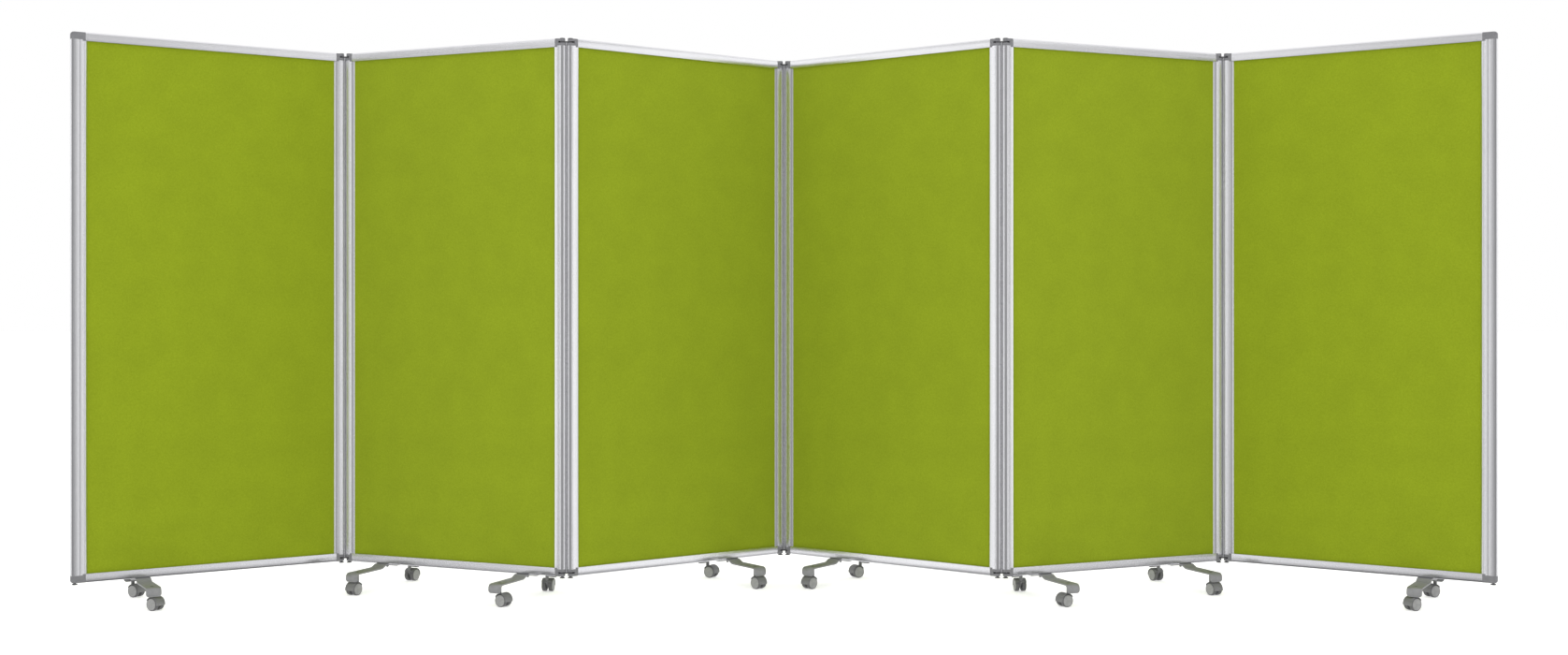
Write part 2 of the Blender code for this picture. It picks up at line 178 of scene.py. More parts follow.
class Look:
    """A node material with a few helpers."""

    def __init__(self, name, **sockets):
        self.material = bpy.data.materials.new(name)
        self.material.use_nodes = True
        self.tree = self.material.node_tree
        self.shader = self.tree.nodes["Principled BSDF"]
        self.coordinates = None
        for socket, value in sockets.items():
            self.shader.inputs[socket.replace("_", " ")].default_value = value

    def node(self, kind, **settings):
        made = self.tree.nodes.new(kind)
        for key, value in settings.items():
            if hasattr(made, key):
                setattr(made, key, value)
            else:
                made.inputs[key.replace("_", " ")].default_value = value
        return made

    def link(self, source, target):
        self.tree.links.new(source, target)

    def noise(self, scale, stretch=(1.0, 1.0, 1.0), detail=3.0, roughness=0.55, distortion=0.0):
        if self.coordinates is None:
            self.coordinates = self.node("ShaderNodeTexCoord").outputs["Object"]
        mapping = self.node("ShaderNodeMapping", Scale=stretch)
        self.link(self.coordinates, mapping.inputs["Vector"])
        made = self.node(
            "ShaderNodeTexNoise", Scale=scale, Detail=detail, Roughness=roughness, Distortion=distortion
        )
        self.link(mapping.outputs["Vector"], made.inputs["Vector"])
        return made.outputs["Fac"]

    def ramp(self, factor, stops):
        made = self.node("ShaderNodeValToRGB")
        elements = made.color_ramp.elements
        while len(elements) < len(stops):
            elements.new(0.5)
        for element, (position, colour) in zip(elements, stops):
            element.position = position
            element.color = (*colour, 1.0)
        self.link(factor, made.inputs["Fac"])
        return made.outputs["Color"]

    def ranged(self, factor, low, high, least=0.3, most=0.7):
        made = self.node("ShaderNodeMapRange")
        for index, value in enumerate((least, most, low, high), start=1):
            made.inputs[index].default_value = value
        self.link(factor, made.inputs[0])
        return made.outputs[0]

    def mixed(self, factor, first, second, blend="MIX"):
        made = self.node("ShaderNodeMix", data_type="RGBA", blend_type=blend)
        colours = [socket for socket in made.inputs if socket.type == "RGBA"]
        if isinstance(factor, float):
            made.inputs[0].default_value = factor
        else:
            self.link(factor, made.inputs[0])
        self.link(first, colours[0])
        self.link(second, colours[1])
        return [socket for socket in made.outputs if socket.type == "RGBA"][0]

    def bumps(self, *heights):
        """Bump nodes in a row, from (height, strength, distance)."""
        before = None
        for height, strength, distance in heights:
            made = self.node("ShaderNodeBump", Strength=strength, Distance=distance)
            self.link(height, made.inputs["Height"])
            if before is not None:
                self.link(before, made.inputs["Normal"])
            before = made.outputs["Normal"]
        self.link(before, self.shader.inputs["Normal"])


def felt_look():
    """Needled felt: short fibres over soft tufts, with broad faint clouds of tone."""
    look = Look("felt", Roughness=0.96, Sheen_Weight=0.12, Sheen_Roughness=0.6, Specular_IOR_Level=0.15)
    look.shader.inputs["Sheen Tint"].default_value = (0.75, 0.85, 0.35, 1.0)
    fibres = look.noise(620.0, (1.0, 1.0, 0.45), detail=4.0, roughness=0.7, distortion=1.2)
    tufts = look.noise(170.0, detail=3.0, roughness=0.6, distortion=0.6)
    clouds = look.noise(9.0, detail=2.0)
    fine = look.ramp(
        fibres, [(0.30, (0.158, 0.213, 0.005)), (0.52, (0.219, 0.285, 0.009)), (0.74, (0.276, 0.347, 0.022))]
    )
    coarse = look.ramp(tufts, [(0.32, (0.184, 0.242, 0.005)), (0.68, (0.250, 0.319, 0.014))])
    broad = look.ramp(clouds, [(0.35, (0.94, 0.94, 0.94)), (0.65, (1.0, 1.0, 1.0))])
    colour = look.mixed(0.5, fine, coarse)
    look.link(look.mixed(1.0, colour, broad, "MULTIPLY"), look.shader.inputs["Base Color"])
    look.link(look.ranged(fibres, 0.90, 1.0), look.shader.inputs["Roughness"])
    look.bumps((tufts, 0.35, 0.0012), (fibres, 0.5, 0.0006))
    return look.material


def aluminium_look(name, stretch, tone=1.0):
    """Satin anodised extrusion, with its fine lines along the length. tone scales its brightness."""
    look = Look(name, Metallic=1.0, Roughness=0.24)
    lines = look.noise(900.0, stretch, detail=3.0, roughness=0.65)
    drift = look.noise(6.0, detail=2.0)
    bright = (0.86 * tone, 0.86 * tone, 0.885 * tone)
    dim = (0.78 * tone, 0.78 * tone, 0.81 * tone)
    colour = look.ramp(lines, [(0.30, dim), (0.70, bright)])
    wash = look.ramp(drift, [(0.3, (0.97, 0.97, 0.97)), (0.7, (1.0, 1.0, 1.0))])
    look.link(look.mixed(1.0, colour, wash, "MULTIPLY"), look.shader.inputs["Base Color"])
    look.link(look.ranged(lines, 0.20, 0.29), look.shader.inputs["Roughness"])
    look.bumps((lines, 0.12, 0.0002))
    return look.material


def plastic_look(name, dark, light, roughness, grain=1400.0):
    """Moulded plastic with a fine grain and faint scuffs."""
    look = Look(name, Roughness=roughness, Specular_IOR_Level=0.4)
    fine = look.noise(grain, detail=2.0)
    scuffs = look.noise(70.0, (1.0, 1.0, 2.0), detail=4.0, roughness=0.7)
    look.link(look.ramp(scuffs, [(0.34, dark), (0.66, light)]), look.shader.inputs["Base Color"])
    look.link(look.ranged(scuffs, roughness + 0.06, roughness - 0.05), look.shader.inputs["Roughness"])
    look.bumps((fine, 0.25, 0.0003))
    return look.material


def steel_look(name, dark, light, roughness, metallic):
    """Plated or painted steel with a slight grain and stains."""
    look = Look(name, Roughness=roughness, Metallic=metallic)
    grain = look.noise(420.0, detail=4.0, roughness=0.6)
    stains = look.noise(28.0, detail=3.0, roughness=0.6)
    colour = look.ramp(grain, [(0.30, dark), (0.70, light)])
    wash = look.ramp(stains, [(0.35, (0.88, 0.88, 0.88)), (0.65, (1.0, 1.0, 1.0))])
    look.link(look.mixed(1.0, colour, wash, "MULTIPLY"), look.shader.inputs["Base Color"])
    look.link(look.ranged(stains, roughness - 0.05, roughness + 0.07), look.shader.inputs["Roughness"])
    look.bumps((grain, 0.15, 0.0003))
    return look.material


LOOKS = {
    "felt": felt_look(),
    "rail": aluminium_look("anodised_rail", (0.004, 1.0, 1.0)),
    "stile": aluminium_look("anodised_stile", (1.0, 1.0, 0.004)),
    "bead": aluminium_look("anodised_bead", (1.0, 1.0, 0.004)),
    "corner": plastic_look("corner_plastic", (0.150, 0.150, 0.160), (0.185, 0.185, 0.195), 0.48),
    "strip": aluminium_look("anodised_strip", (1.0, 1.0, 0.004), 0.93),
    "link": steel_look("hinge_steel", (0.11, 0.11, 0.115), (0.16, 0.16, 0.165), 0.42, 0.7),
    "pin": steel_look("pin_steel", (0.17, 0.17, 0.175), (0.24, 0.24, 0.245), 0.38, 0.7),
    "foot": steel_look("foot_steel", (0.245, 0.245, 0.255), (0.31, 0.31, 0.32), 0.44, 0.25),
    "screw": steel_look("screw_steel", (0.16, 0.16, 0.165), (0.24, 0.24, 0.245), 0.36, 0.8),
    "housing": plastic_look("caster_housing", (0.150, 0.150, 0.155), (0.190, 0.190, 0.195), 0.46),
    "hub": plastic_look("caster_hub", (0.250, 0.250, 0.250), (0.310, 0.310, 0.310), 0.42),
    "tread": plastic_look("caster_tread", (0.095, 0.095, 0.100), (0.135, 0.135, 0.135), 0.62, grain=800.0),
}


def piece(name, mesh, look, place, body, replaced):
    """One shown piece: the shared mesh at its place, riding on its body and standing for its CAD nodes."""
    if not mesh.materials:
        mesh.materials.append(LOOKS[look])
    made = bpy.data.objects.new(name, mesh)
    bpy.context.scene.collection.objects.link(made)
    made.matrix_world = place
    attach(made, body)
    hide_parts(*replaced)
    return made


# ---------------------------------------------------------------- places, all measured from the frame


def along_matrix(origin, direction):
    """A frame at origin with X along the horizontal direction and Z up."""
    ahead = Vector((direction.x, direction.y, 0.0)).normalized()
    return Matrix((
        (ahead.x, -ahead.y, 0.0, origin.x),
        (ahead.y, ahead.x, 0.0, origin.y),
        (0.0, 0.0, 1.0, 0.0),
        (0.0, 0.0, 0.0, 1.0),
    ))


def board_line(number):
    """Middle of a board and the horizontal direction along it, to the right."""
    points = [vert.co for vert in frame["nodes"][f"panel_{number}_board"].data.vertices]
    middle = sum(points, Vector()) / len(points)
    ends = [
        [point for point in points if (point.x - middle.x) * side > 0]
        for side in (-1, 1)
    ]
    left, right = (sum(end, Vector()) / len(end) for end in ends)
    return middle, (right - left).normalized()


joints = {joint["name"]: joint for joint in frame["joints"]}
places = {name: Vector(joint["pos_m"]) for name, joint in joints.items()}


def pins_of(left_panel):
    """(left pin, right pin) of the hinge on the right of a panel."""
    name = f"fold_{left_panel}_{left_panel + 1}"
    return sorted((places[name], places[name + "_second_pin"]), key=lambda pin: pin.x)


FRAME_LOW, FRAME_HIGH = (corner.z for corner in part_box("panel_3_frame"))
middle, direction = board_line(3)
HALF_SPAN = abs((pins_of(3)[0] - middle).xy.dot(direction.xy))
SPAN = 2 * HALF_SPAN


def panel_matrix(number):
    middle, direction = board_line(number)
    return along_matrix(middle - direction * HALF_SPAN, direction)


# ---------------------------------------------------------------- panel pieces

# A stile's front face from the felt to the top of its lip, as (along, through)
LIP = [
    (FELT_EDGE, FELT_PLANE + 0.0003), (FELT_EDGE - 0.0005, FELT_PLANE + 0.0012), (FELT_EDGE - 0.0028, 0.0088),
    (FELT_EDGE - 0.0052, 0.0116), (LIP_EDGE + 0.0006, HALF - 0.0003), (LIP_EDGE - 0.0004, HALF),
]


def hinged_outline():
    """A hinged stile's front face: the lip, the flat and half of the round nose."""
    return LIP + arc((0.0, 0.0), HALF, 90, 180, 14)


# The end strip's front face, from the groove round to the middle of the free end
FREE_BAND = [
    (0.0040, HALF), (-0.0040, HALF - 0.0001), (-0.0110, HALF - 0.0003), (-0.0170, HALF - 0.0007),
    (-0.0198, HALF - 0.0014), (-0.0218, HALF - 0.0031), (-0.0228, HALF - 0.0058), (FREE_NOSE, 0.0030),
    (FREE_NOSE, 0.0),
]


def free_outline():
    """A free stile's front face, up to the groove that its end strip snaps into."""
    return LIP + [
        (0.0052, HALF), (0.0048, HALF - 0.0008), (0.0044, HALF - 0.0010), (0.0030, HALF - 0.0010),
        (0.0, 0.0040),
    ]


def mirrored_in_panel(points):
    return [(SPAN - x, y, z) for x, y, z in points]


def stile_mesh(name, outline, right):
    """A stile between its corner pieces."""
    closed = both_sides(outline)
    rings = [[(x, y, z) for x, y in closed] for z in (FRAME_LOW + CORNER_TALL, FRAME_HIGH - CORNER_TALL)]
    points, faces = loft(rings)
    if right:
        points = mirrored_in_panel(points)
    return mesh_of(name, points, faces, sharp=28.0)


def end_strip_mesh(name, right):
    """The strip that covers the end of a free stile."""
    outline = both_sides([(0.0040, HALF - 0.0009)] + FREE_BAND[1:-1])
    points, faces = loft([
        [(x, y, z) for x, y in outline] for z in (FRAME_LOW + CORNER_TALL, FRAME_HIGH - CORNER_TALL)
    ])
    if right:
        points = mirrored_in_panel(points)
    return mesh_of(name, points, faces, sharp=40.0)


def rail_mesh(name, top):
    """A top or bottom rail, chamfered along its outer edges."""
    edge, inward = (FRAME_HIGH, -1.0) if top else (FRAME_LOW, 1.0)
    half = [
        (0.0, 0.0), (HALF - CHAMFER_IN - 0.0006, 0.0), (HALF - CHAMFER_IN, 0.0004),
        (HALF - 0.0002, RAIL_CHAMFER - 0.0005),
        (HALF, RAIL_CHAMFER + 0.0002), (HALF, RAIL_FACE - 0.0009), (HALF - 0.0003, RAIL_FACE - 0.0002),
        (HALF - 0.0010, RAIL_FACE), (FELT_PLANE + 0.0004, RAIL_FACE), (0.0, RAIL_FACE),
    ]
    outline = half + [(-y, t) for y, t in reversed(half[1:-1])]
    rings = [
        [(x, y, edge + inward * t) for y, t in outline]
        for x in (CORNER_INNER + SEAM, SPAN - CORNER_INNER - SEAM)
    ]
    return mesh_of(name, *loft(rings), sharp=28.0)


def corner_ring(kind, depth, nose):
    """One ring of a corner piece as (along, through): kind is how its outer end looks at that depth."""
    chamfer = max(0.0, 1.0 - depth / RAIL_CHAMFER) * CHAMFER_IN
    half = HALF + PROUD - chamfer
    if kind == "slot":
        turned = [(SLOT_BACK, half * math.cos(math.radians(turn))) for turn in range(0, 181, 12)]
    elif kind == "ear":
        turned = arc((0.0, 0.0), nose, 90, 270, 15)
    elif kind == "nose":
        turned = arc((0.0, 0.0), half, 90, 270, 15)
    else:
        front = [(x, min(y + PROUD, half)) for x, y in FREE_BAND]
        turned = [(LIP_EDGE - 0.012, half)] + front[:-1]
        turned = turned + [(x, -y) for x, y in reversed(turned)]
        shift = (CORNER_INNER - nose) / (CORNER_INNER - FREE_NOSE)
        turned = [(CORNER_INNER + (x - CORNER_INNER) * shift, y) for x, y in turned]
    shoulder = 0.0045 if kind == "ear" else SLOT_BACK
    return [(CORNER_INNER, half), (max(shoulder, turned[0][0] + 0.0001), half)] + turned + [
        (max(shoulder, turned[0][0] + 0.0001), -half), (CORNER_INNER, -half)
    ]


def corner_mesh(name, free, top, right):
    """A plastic corner piece: body, tooth over the stile and, at a top hinge, the step beside the pin."""
    edge, inward = (FRAME_HIGH, -1.0) if top else (FRAME_LOW, 1.0)
    if free:
        radius = 0.0080
        rings = []
        for share in (0.0, 0.06, 0.16, 0.32, 0.55, 0.8, 1.0):
            depth = radius * share
            nose = FREE_NOSE + radius - math.sqrt(max(0.0, radius**2 - (radius - depth) ** 2))
            rings.append(("free", depth, nose))
        rings.append(("free", CORNER_TALL, FREE_NOSE))
    else:
        seat = HEAD_SEAT if top else 0.0
        rings = [
            ("ear", seat, EAR - 0.0016), ("ear", seat + 0.0006, EAR - 0.0006), ("ear", seat + 0.0018, EAR),
            ("ear", RAIL_CHAMFER, EAR), ("ear", SLOT[0], EAR), ("slot", SLOT[0], 0.0), ("slot", SLOT[1], 0.0),
            ("nose", SLOT[1], 0.0), ("nose", CORNER_TALL, 0.0),
        ]
    body = loft([
        [(x, y, edge + inward * depth) for x, y in corner_ring(kind, depth, nose)]
        for kind, depth, nose in rings
    ])
    half = HALF + PROUD
    tooth_outline = [(TOOTH[0], -half), (TOOTH[1], -half), (TOOTH[1], half), (TOOTH[0], half)]
    tooth = loft([
        [(x, y, edge + inward * depth) for x, y in tooth_outline]
        for depth in (CORNER_TALL, RAIL_FACE - 0.0005, RAIL_FACE)
    ])
    solids = [body, tooth]
    if top and not free:
        beside_head = HEAD + 0.0004
        block = []
        for depth in (0.0, 0.0012):
            wide = half - CHAMFER_IN * (1.0 - depth / RAIL_CHAMFER)
            outline = ((CORNER_INNER, wide), (beside_head, wide), (beside_head, -wide), (CORNER_INNER, -wide))
            block.append([(x, y, edge + inward * depth) for x, y in outline])
        solids.append(loft(block))
    points, faces = merged(*solids)
    if right:
        points = mirrored_in_panel(points)
    return mesh_of(name, points, faces, sharp=32.0)


def felt_mesh(name, side):
    """One felt face: a thin stretched sheet with its edges pressed down under the frame's lips."""
    columns, rows = 30, 60
    tuck = 0.0012
    x0, x1 = FELT_EDGE - tuck, SPAN - FELT_EDGE + tuck
    z0, z1 = FRAME_LOW + RAIL_FACE - tuck, FRAME_HIGH - RAIL_FACE + tuck

    def stations(low, high, count):
        rim = (0.0, 0.0014, 0.0032, 0.0060)
        inner = [low + rim[-1] + (high - low - 2 * rim[-1]) * step / count for step in range(1, count)]
        return [low + d for d in rim] + inner + [high - d for d in reversed(rim)]

    xs, zs = stations(x0, x1, columns), stations(z0, z1, rows)
    points = []
    for z in zs:
        for x in xs:
            rim = min(x - x0, x1 - x, z - z0, z1 - z)
            crown = 0.0007 * (1.0 - math.exp(-rim / 0.0022))
            wave = 0.00010 * math.sin(9.0 * x + 2.1 * z) * math.sin(4.3 * z + side)
            points.append((x, side * (FELT_PLANE - 0.0001 + crown + (wave if rim > 0.02 else 0.0)), z))
    wide = len(xs)
    firsts = [row * wide + column for row in range(len(zs) - 1) for column in range(wide - 1)]
    faces = [(first, first + 1, first + wide + 1, first + wide) for first in firsts]
    mesh = mesh_of(name, points, faces, sharp=80.0)
    facing = mesh.polygons[len(mesh.polygons) // 2].normal.y * side
    if facing < 0:
        mesh.flip_normals()
    return mesh, (x1 - x0, z1 - z0)


def flange(low):
    """Profile of the flange that hangs under a stud or a pin, below the frame's edge at low."""
    return [
        (HEAD - 0.0010, low - 0.0036), (HEAD - 0.0002, low - 0.0040), (HEAD, low - 0.0047),
        (HEAD, low - 0.0056), (HEAD - 0.0005, low - 0.0063), (HEAD - 0.0016, low - 0.0067),
        (0.0032, low - 0.0067), (0.0028, low - 0.0058), (0.0005, low - 0.0058),
    ]


def stud_mesh(name, x):
    """A flanged stud under the end of a frame."""
    low = FRAME_LOW
    neck = PIN + 0.0006
    profile = [(0.0005, low + 0.001), (neck, low + 0.001), (neck, low - 0.0029)] + flange(low)
    return mesh_of(name, *revolved(profile, 32, upright(x)), sharp=40.0)


def build_panels():
    felt = {side: felt_mesh(f"felt_{label}", side) for side, label in ((-1, "front"), (1, "rear"))}
    rails = {top: rail_mesh("rail", top) for top in (False, True)}
    stiles = {
        (free, right): stile_mesh("stile", free_outline() if free else hinged_outline(), right)
        for free in (False, True)
        for right in (False, True)
    }
    corners = {
        (free, top, right): corner_mesh("corner", free, top, right)
        for free in (False, True)
        for top in (False, True)
        for right in (False, True)
    }
    for number in range(1, 7):
        place, body = panel_matrix(number), f"panel_{number}"
        nodes = [f"panel_{number}_frame"]
        for top, where in ((True, "top"), (False, "bottom")):
            piece(f"{body}_{where}_rail", rails[top], "rail", place, body, nodes)
        for right, hand in ((False, "left"), (True, "right")):
            free = (number, hand) in ((1, "left"), (6, "right"))
            piece(f"{body}_{hand}_stile", stiles[free, right], "stile", place, body, nodes)
            for top, where in ((True, "top"), (False, "bottom")):
                corner = corners[free, top, right]
                piece(f"{body}_{where}_{hand}_corner", corner, "corner", place, body, nodes)
            if free:
                x = FREE_NOSE + HALF if not right else SPAN - FREE_NOSE - HALF
                piece(f"{body}_end_stud", stud_mesh("end_stud", x), "pin", place, body, nodes)
                piece(f"{body}_end_strip", end_strip_mesh("end_strip", right), "strip", place, body, nodes)
        for side, label in ((-1, "front"), (1, "rear")):
            mesh, flat = felt[side]
            made = piece(f"{body}_felt_{label}", mesh, "felt", place, body, [f"panel_{number}_board"])


# ---------------------------------------------------------------- hinges


def pin_mesh(name, x):
    """A hinge pin with its head on top and its flange below."""
    low, high = FRAME_LOW, FRAME_HIGH
    profile = [
        (0.0005, high + 0.0020), (HEAD - 0.0030, high + 0.0020), (HEAD - 0.0012, high + 0.0017),
        (HEAD - 0.0002, high + 0.0011), (HEAD, high + 0.0005), (HEAD, high + 0.0001), (HEAD - 0.0004, high),
        (PIN, high), (PIN, low), (PIN + 0.0008, low - 0.0004), (PIN + 0.0008, low - 0.0030),
    ] + flange(low)
    return mesh_of(name, *revolved(profile, 32, upright(x)), sharp=40.0)


def link_mesh(name, spacing, low, high):
    """The plate that joins the two pins, with softened edges."""
    def ring(shrink, z):
        radius = LINK_RADIUS - shrink
        outline = arc((0.0, 0.0), radius, 90, 270, 14) + arc((spacing, 0.0), radius, -90, 90, 14)
        return [(x, y, z) for x, y in outline]

    rings = [
        ring(0.0006, low), ring(0.0002, low + 0.0002), ring(0.0, low + 0.0007), ring(0.0, high - 0.0007),
        ring(0.0002, high - 0.0002), ring(0.0006, high),
    ]
    return mesh_of(name, *loft(rings), sharp=50.0)


def bead_mesh(name, spacing, side, low, high):
    outline = arc((spacing / 2, side * BEAD_OFFSET), BEAD, 0, 360, 20)[:-1]
    return mesh_of(name, *loft([[(x, y, z) for x, y in outline] for z in (low, high)]), sharp=50.0)


def build_hinges():
    low, high = FRAME_LOW, FRAME_HIGH
    spacing = (pins_of(3)[1] - pins_of(3)[0]).length
    play = 0.0002
    low_link = (low + SLOT[0] + play, low + SLOT[1] - play)
    high_link = (high - SLOT[1] + play, high - SLOT[0] - play)
    pins = {hand: pin_mesh("hinge_pin", x) for hand, x in (("left", 0.0), ("right", spacing))}
    links = {
        where: link_mesh("hinge_link", spacing, *ends)
        for where, ends in (("bottom", low_link), ("top", high_link))
    }
    beads = {
        label: bead_mesh("hinge_bead", spacing, side, low_link[1] - 0.0005, high_link[0] + 0.0005)
        for label, side in (("front", -1.0), ("rear", 1.0))
    }
    for number in range(1, 6):
        left, right = pins_of(number)
        place = along_matrix(left, right - left)
        name, body = f"hinge_{number}_{number + 1}", f"link_{number}_{number + 1}"
        for hand, mesh in pins.items():
            piece(f"{name}_{hand}_pin", mesh, "pin", place, body, [name])
        for where, mesh in links.items():
            piece(f"{name}_{where}_link", mesh, "link", place, body, [name])
        for label, mesh in beads.items():
            piece(f"{name}_{label}_bead", mesh, "bead", place, body, [name])


# ---------------------------------------------------------------- feet


def bar_line():
    """Half of the bar's middle line from the panel outwards, as (across, height)."""
    seat = FRAME_LOW - BAR_GAP - BAR_PLATE / 2
    start, end, drop = BAR_JOGGLE
    line = [(0.0, seat), (start - 0.004, seat), (start, seat)]
    for step in range(1, 9):
        share = step / 8
        line.append((start + (end - start) * share, seat - drop * (0.5 - 0.5 * math.cos(math.pi * share))))
    arm = seat - drop
    centre = (BAR_REACH - BAR_BEND, arm + BAR_PLATE / 2 - BAR_BEND)
    line += [(0.080, arm), (0.125, arm)]
    line += arc(centre, BAR_BEND - BAR_PLATE / 2, 90, 0, 8)
    across, last = line[-1]
    rounding = FLAP_BOTTOM + FLAP_CORNER
    line.append((across, last - (last - rounding) * 0.98))
    across = BAR_REACH - BAR_PLATE / 2
    below = [0.0010, 0.0030, 0.0050, 0.0068, 0.0082, 0.0092, 0.0098]
    line += [(across, rounding - drop) for drop in below]
    line.append((across, FLAP_BOTTOM))
    return line


def bar_mesh(name):
    """The foot's flat bar: joggled beside the rail, and bent down into a round-cornered flap at each end."""
    half_line = bar_line()
    line = [(-v, z) for v, z in reversed(half_line[1:])] + half_line
    rings = []
    for index, (v, z) in enumerate(line):
        before, after = line[max(0, index - 1)], line[min(len(line) - 1, index + 1)]
        tangent = Vector((after[0] - before[0], after[1] - before[1])).normalized()
        normal = Vector((-tangent.y, tangent.x))
        over = max(0.0, FLAP_BOTTOM + FLAP_CORNER - z) if abs(v) > BAR_REACH - BAR_BEND else 0.0
        narrow = FLAP_CORNER - math.sqrt(max(0.0, FLAP_CORNER**2 - over**2))
        half_width = BAR_WIDTH / 2 - narrow
        thick = BAR_PLATE / 2 - (0.0008 if z <= FLAP_BOTTOM + 0.0001 else 0.0)
        edge = 0.0009
        section = [
            (half_width - edge, thick), (half_width - 0.3 * edge, thick - 0.3 * edge),
            (half_width, thick - edge), (half_width, edge - thick),
            (half_width - 0.3 * edge, 0.3 * edge - thick), (half_width - edge, -thick),
        ]
        section += [(-x, t) for x, t in reversed(section)]
        rings.append([(x, v + normal.x * t, z + normal.y * t) for x, t in section])
    return mesh_of(name, *loft(rings), sharp=30.0)


def screw_mesh(name):
    """The two fixings under the middle of the bar: washers and button heads."""
    top = FRAME_LOW - BAR_GAP - BAR_PLATE + 0.0004
    profile = [
        (0.0005, top), (0.0060, top), (0.0062, top - 0.0006), (0.0062, top - 0.0013), (0.0058, top - 0.0016),
        (0.0042, top - 0.0016), (0.0041, top - 0.0048), (0.0037, top - 0.0060), (0.0029, top - 0.0067),
        (0.0020, top - 0.0069), (0.0018, top - 0.0052), (0.0005, top - 0.0052),
    ]
    apart = SCREW_SPACING / 2
    pair = merged(*(revolved(profile, 28, upright(along)) for along in (-apart, apart)))
    return mesh_of(name, *pair, sharp=40.0)


def rivet_mesh(name):
    """Low head of the caster's stem on top of the bar, on both arms."""
    arm_top = FRAME_LOW - BAR_GAP - BAR_JOGGLE[2]
    profile = [
        (0.0005, arm_top + 0.0016), (0.0028, arm_top + 0.0015), (0.0044, arm_top + 0.0010),
        (0.0052, arm_top + 0.0002), (0.0052, arm_top - 0.0004), (0.0005, arm_top - 0.0004),
    ]
    return mesh_of(name, *revolved(profile, 24, upright()), sharp=40.0)


FEET = {
    "foot_1": 1, "foot_2_outer": 2, "foot_2_inner": 2, "foot_3": 3,
    "foot_4": 4, "foot_5_inner": 5, "foot_5_outer": 5, "foot_6": 6,
}


def build_feet():
    bar, screw, rivet = bar_mesh("foot_bar"), screw_mesh("foot_screws"), rivet_mesh("stem_head")
    housing = housing_mesh("caster_housing")
    tyres, hubs = tyre_mesh("caster_tyres"), hub_mesh("caster_hubs")
    for foot, number in FEET.items():
        body = f"panel_{number}"
        low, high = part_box(foot)
        place = along_matrix((low + high) / 2, board_line(number)[1])
        piece(f"{foot}_bar", bar, "foot", place, body, [foot])
        piece(f"{foot}_screws", screw, "screw", place, body, [foot])
        for side in ("front", "rear"):
            caster = f"{foot}_{side}"
            stem, axle = places[caster + "_turn"], places[caster + "_roll"]
            at_stem = along_matrix(stem, axle - stem)
            swivel, roll = caster + "_swivel", caster + "_wheel_pair"
            piece(caster + "_stem_head", rivet, "screw", at_stem, swivel, [caster + "_housing"])
            piece(caster + "_hood", housing, "housing", at_stem, swivel, [caster + "_housing"])
            piece(caster + "_tyres", tyres, "tread", at_stem, roll, [caster + "_wheels"])
            piece(caster + "_hubs", hubs, "hub", at_stem, roll, [caster + "_wheels"])


# ---------------------------------------------------------------- casters, X from the stem to the axle

stem, axle = places["foot_1_front_turn"], places["foot_1_front_roll"]
AXLE = ((axle - stem).xy.length, axle.z)


def wheel_solids(profile, sides):
    """The round solid of a profile given as (radius, distance out of the middle), on both wheels."""
    place = on_axle(AXLE)
    solids = [revolved(profile, sides, place)]
    solids.append(revolved([(radius, -along) for radius, along in profile], sides, place))
    return merged(*solids)


def tyre_mesh(name):
    near, far = WHEEL_NEAR, WHEEL_FAR
    profile = [
        (0.0060, near + 0.0010), (WHEEL - 0.0060, near), (WHEEL - 0.0026, near),
        (WHEEL - 0.0010, near + 0.0005), (WHEEL - 0.0002, near + 0.0016), (WHEEL, near + 0.0034),
        (WHEEL, far - 0.0038), (WHEEL - 0.0002, far - 0.0022),
        (WHEEL - 0.0008, far - 0.0009), (WHEEL - 0.0014, far - 0.0004), (WHEEL - 0.0019, far - 0.0004),
        (WHEEL - 0.0022, far - 0.0009), (WHEEL - 0.0024, far - 0.0020), (0.0060, far - 0.0020),
    ]
    return mesh_of(name, *wheel_solids(profile, 56), sharp=34.0)


def hub_mesh(name):
    far = WHEEL_FAR
    rim = WHEEL - 0.0024
    profile = [
        (0.0010, far - 0.0040), (rim, far - 0.0040), (rim, far - 0.0010), (rim - 0.0005, far - 0.0003),
        (rim - 0.0014, far + 0.0000), (rim - 0.0032, far + 0.0003), (rim - 0.0070, far + 0.0007),
        (0.0075, far + 0.0009), (0.0052, far + 0.0009), (0.0048, far + 0.0005), (0.0043, far + 0.0005),
        (0.0039, far + 0.0009), (0.0020, far + 0.0010), (0.0004, far + 0.0010),
    ]
    shaft = revolved([(0.0029, -far + 0.004), (0.0029, far - 0.004)], 20, on_axle(AXLE))
    return mesh_of(name, *merged(wheel_solids(profile, 56), shaft), sharp=34.0)


